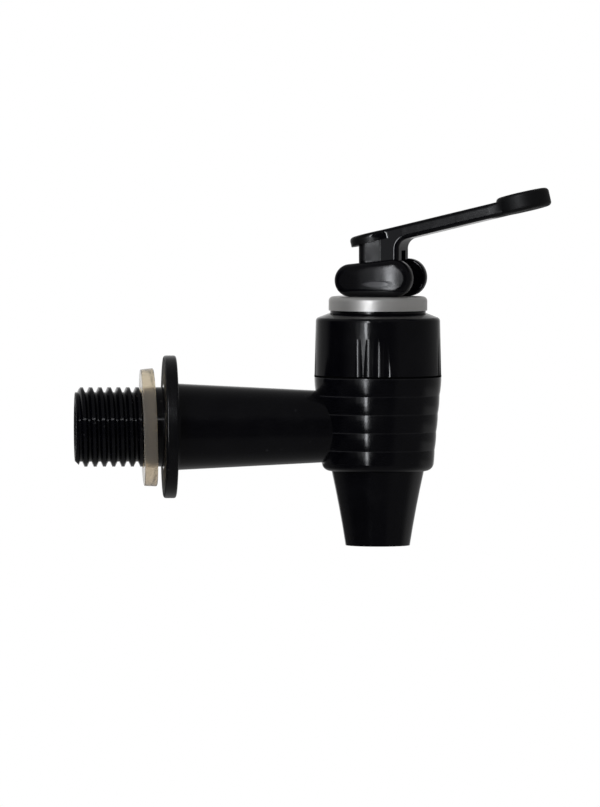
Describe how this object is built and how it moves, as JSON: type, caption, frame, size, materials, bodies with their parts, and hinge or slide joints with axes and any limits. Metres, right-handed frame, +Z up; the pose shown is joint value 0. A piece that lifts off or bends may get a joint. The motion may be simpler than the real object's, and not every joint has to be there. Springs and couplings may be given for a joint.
{
  "type": "lever dispensing tap",
  "caption": "Black plastic dispensing tap with a threaded wall shank and washer, a screw cap, and a swivelling cam lever that lifts a sprung valve to let water out of a tapered spout.",
  "frame": {"origin": "on the shank's axis at the flange's wall side", "axes": "+X out of the wall along the shank to the barrel, +Z up along the stem, the picture is taken from -Y"},
  "size_m": [0.095, 0.0307, 0.0722],
  "materials": {
    "black_plastic": "gloss",
    "stem_plastic": "matte",
    "silicone": "translucent satin",
    "steel": "satin"
  },
  "bodies": {
    "tap": {"tap_body": "black_plastic", "bonnet_cap": "black_plastic", "seat_cup": "silicone", "shank_washer": "silicone"},
    "ring": {"steel_ring": "steel"},
    "stem": {"valve_stem": "stem_plastic", "return_spring": "steel"},
    "lever": {"lever": "black_plastic", "pivot_pin": "steel"}
  },
  "joints": [
    {"name": "lever_swivel", "type": "hinge", "parent": "tap", "child": "ring", "pos_m": [0.0432, 0, 0.0234], "axis": [0, 0, 1], "continuous": true},
    {"name": "stem_lift", "type": "slide", "parent": "ring", "child": "stem", "axis": [0, 0, 1], "range_m": [0, 0.00263], "deforming": ["return_spring", "seat_cup"]},
    {"name": "lever_press", "type": "hinge", "parent": "stem", "child": "lever", "pos_m": [0.0432, 0, 0.0298], "axis": [0.3584, 0.9336, 0], "range_deg": [0, 30], "stiffness_Nm_per_rad": 0.0375, "springref_deg": -45.84}
  ],
  "couplings": [
    {"joint": "stem_lift", "follows": "lever_press", "m_per_rad": 0.005}
  ]
}
